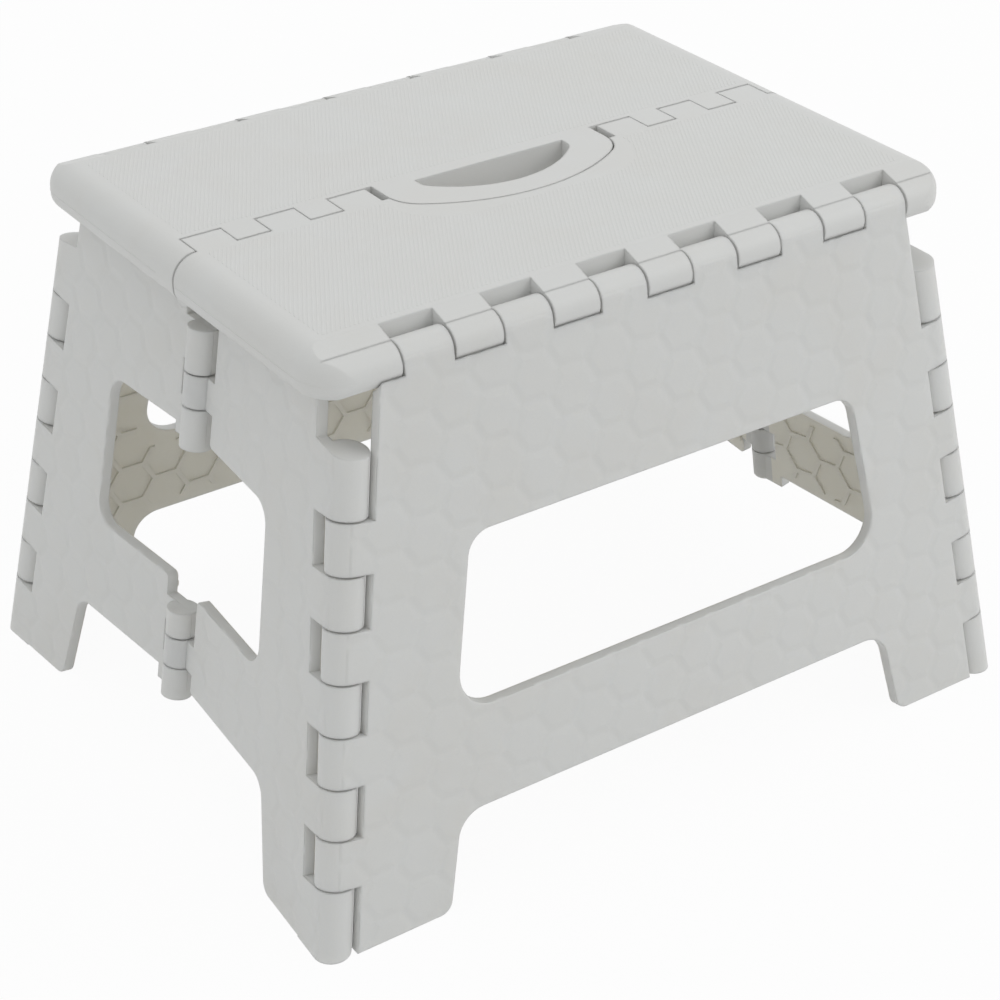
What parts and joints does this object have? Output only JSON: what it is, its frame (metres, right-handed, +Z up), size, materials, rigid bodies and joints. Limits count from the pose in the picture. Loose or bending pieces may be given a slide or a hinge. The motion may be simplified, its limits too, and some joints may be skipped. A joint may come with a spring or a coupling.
{
  "type": "folding step stool",
  "caption": "Low plastic step stool with hinged tread, leg panels and ends that fold flat when the handle in the tread is pulled up.",
  "frame": {"origin": "middle of the footprint on the floor", "axes": "+X along the long side, to the right seen from the front, +Y from the front to the rear, +Z up"},
  "size_m": [0.3346, 0.272, 0.226],
  "materials": {
    "panel": "satin moulded",
    "pin": "drawn wire"
  },
  "bodies": {
    "rear_top": {"rear_top": "panel", "left_seam_pin": "pin", "right_seam_pin": "pin", "rear_top_pin": "pin"},
    "front_top": {"front_top": "panel", "front_top_pin": "pin"},
    "front_leg": {"front_leg": "panel", "front_left_corner_pin": "pin", "front_right_corner_pin": "pin"},
    "rear_leg": {"rear_leg": "panel", "rear_left_corner_pin": "pin", "rear_right_corner_pin": "pin"},
    "left_front_end": {"left_front_end": "panel"},
    "left_rear_end": {"left_rear_end": "panel", "left_upper_fold_pin": "pin", "left_lower_fold_pin": "pin"},
    "right_front_end": {"right_front_end": "panel", "right_upper_fold_pin": "pin", "right_lower_fold_pin": "pin"},
    "right_rear_end": {"right_rear_end": "panel"}
  },
  "joints": [
    {"name": "top_fold", "type": "hinge", "parent": "rear_top", "child": "front_top", "pos_m": [0, 0, 0.2078], "axis": [1, 0, 0], "range_deg": [0, 180]},
    {"name": "front_leg_fold", "type": "hinge", "parent": "front_top", "child": "front_leg", "pos_m": [0, -0.09902, 0.2154], "axis": [-1, 0, 0], "range_deg": [0, 82.17]},
    {"name": "rear_leg_fold", "type": "hinge", "parent": "rear_top", "child": "rear_leg", "pos_m": [0, 0.09902, 0.2154], "axis": [1, 0, 0], "range_deg": [0, 82.17]},
    {"name": "left_front_corner_fold", "type": "hinge", "parent": "front_leg", "child": "left_front_end", "pos_m": [-0.16, -0.1287, 0], "axis": [-0.158, -0.1348, -0.9782], "range_deg": [0, 86.91]},
    {"name": "right_front_corner_fold", "type": "hinge", "parent": "front_leg", "child": "right_front_end", "pos_m": [0.16, -0.1287, 0], "axis": [-0.158, 0.1348, 0.9782], "range_deg": [0, 86.91]},
    {"name": "left_rear_corner_fold", "type": "hinge", "parent": "rear_leg", "child": "left_rear_end", "pos_m": [-0.16, 0.1287, 0], "axis": [0.158, -0.1348, 0.9782], "range_deg": [0, 86.91]},
    {"name": "right_rear_corner_fold", "type": "hinge", "parent": "rear_leg", "child": "right_rear_end", "pos_m": [0.16, 0.1287, 0], "axis": [0.158, 0.1348, -0.9782], "range_deg": [0, 86.91]}
  ],
  "couplings": [
    {"joint": "front_leg_fold", "follows": "top_fold", "ratio": 0.45646},
    {"joint": "rear_leg_fold", "follows": "top_fold", "ratio": 0.45646},
    {"joint": "left_front_corner_fold", "follows": "top_fold", "ratio": 0.48276},
    {"joint": "right_front_corner_fold", "follows": "top_fold", "ratio": 0.48276},
    {"joint": "left_rear_corner_fold", "follows": "top_fold", "ratio": 0.48276},
    {"joint": "right_rear_corner_fold", "follows": "top_fold", "ratio": 0.48276}
  ]
}
